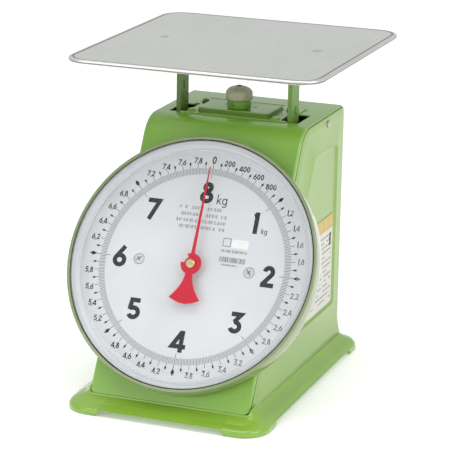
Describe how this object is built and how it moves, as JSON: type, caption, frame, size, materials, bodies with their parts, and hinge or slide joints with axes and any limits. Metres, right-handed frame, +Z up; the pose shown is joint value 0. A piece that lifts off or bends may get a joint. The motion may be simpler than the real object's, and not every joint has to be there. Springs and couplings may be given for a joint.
{
  "type": "mechanical dial platform scale",
  "caption": "Spring scale with a square steel pan on two posts, a steel case with a sloping round dial, a red pointer and a zero knob.",
  "frame": {"origin": "on the floor under the centre of the scale's bounding box", "axes": "+Z up, -Y towards the dial side, +X to the right of someone reading the dial"},
  "size_m": [0.23, 0.2956, 0.298],
  "materials": {
    "case_green": "gloss",
    "base_green": "gloss",
    "pan_steel": "satin",
    "bright_steel": "polished",
    "zinc_steel": "satin",
    "spring_steel": "satin",
    "brass": "satin",
    "dial_white": "matte",
    "clear_cover": "polished",
    "pointer_red": "matte",
    "knob_ivory": "gloss",
    "rubber_black": "matte",
    "label_paper": "matte",
    "dark_steel": "satin"
  },
  "bodies": {
    "root": {"base": "base_green", "rubber_feet": "rubber_black", "base_screws": "zinc_steel", "case_shell": "case_green", "side_cover_left": "case_green", "side_cover_right": "case_green", "side_screws": "zinc_steel", "rating_label": "label_paper", "dial_case": "dial_white", "dial_plate": "dial_white", "dial_screws": "zinc_steel", "dial_cover": "clear_cover", "bezel_ring": "case_green", "movement_frame": "zinc_steel", "movement_screws": "zinc_steel", "front_bearing": "brass", "rear_bearing": "brass", "hanger_bridge": "case_green", "bridge_screws": "case_green", "bridge_bolts": "case_green", "thrust_washer": "zinc_steel", "hanger_guides": "bright_steel", "upper_link_bracket": "zinc_steel", "lower_link_bracket": "zinc_steel", "upper_rear_pin": "bright_steel", "lower_rear_pin": "bright_steel", "stop_pillar": "zinc_steel", "stop_buffer": "rubber_black"},
    "carrier": {"post_left": "case_green", "post_right": "case_green", "post_screws": "case_green", "pan": "pan_steel", "pan_screws": "bright_steel", "rack": "brass", "rack_bar": "zinc_steel", "rack_arm": "zinc_steel", "spring_bar": "zinc_steel", "lower_bar": "zinc_steel", "carrier_screws": "zinc_steel", "lower_spring_plugs": "zinc_steel", "upper_front_pins": "bright_steel", "lower_front_pins": "bright_steel", "spring_left": "spring_steel", "spring_right": "spring_steel"},
    "pointer_assembly": {"pointer": "pointer_red", "pointer_hub": "pointer_red", "hub_nut": "brass", "spindle": "bright_steel", "pinion": "brass"},
    "zero_adjuster": {"knob_collar": "case_green", "zero_knob": "knob_ivory", "knob_cap_screw": "dark_steel", "zero_screw": "bright_steel", "collar_grub_screw": "case_green"},
    "spring_hanger": {"spring_hanger": "zinc_steel", "upper_spring_plugs": "zinc_steel"},
    "upper_link": {"upper_link": "zinc_steel"},
    "lower_link": {"lower_link": "zinc_steel"}
  },
  "joints": [
    {"name": "weighing_slide", "type": "slide", "parent": "root", "child": "carrier", "axis": [0, 0, -1], "range_m": [0, 0.02519], "stiffness_N_per_m": 3114.1, "springref_m": -0.00357, "deforming": ["spring_left", "spring_right"]},
    {"name": "pointer_turn", "type": "hinge", "parent": "root", "child": "pointer_assembly", "pos_m": [0, -0.06884, 0.1195], "axis": [0, 0.8729, -0.4879], "range_deg": [0, 360.07]},
    {"name": "zero_knob_turn", "type": "hinge", "parent": "root", "child": "zero_adjuster", "pos_m": [0, 0.0322, 0.24], "axis": [0, 0, 1], "range_deg": [-360.1, 360.1]},
    {"name": "hanger_slide", "type": "slide", "parent": "root", "child": "spring_hanger", "axis": [0, 0, 1], "range_m": [-0.001, 0.001]},
    {"name": "upper_link_turn", "type": "hinge", "parent": "root", "child": "upper_link", "pos_m": [0, 0.0942, 0.1594], "axis": [1, 0, 0], "range_deg": [0, 22.97]},
    {"name": "lower_link_turn", "type": "hinge", "parent": "root", "child": "lower_link", "pos_m": [0, 0.0942, 0.0714], "axis": [1, 0, 0], "range_deg": [0, 22.97]}
  ],
  "couplings": [
    {"joint": "pointer_turn", "follows": "weighing_slide", "rad_per_m": 249.41},
    {"joint": "upper_link_turn", "follows": "weighing_slide", "rad_per_m": 15.912},
    {"joint": "lower_link_turn", "follows": "weighing_slide", "rad_per_m": 15.912},
    {"joint": "zero_knob_turn", "follows": "hanger_slide", "rad_per_m": -6283.2}
  ]
}
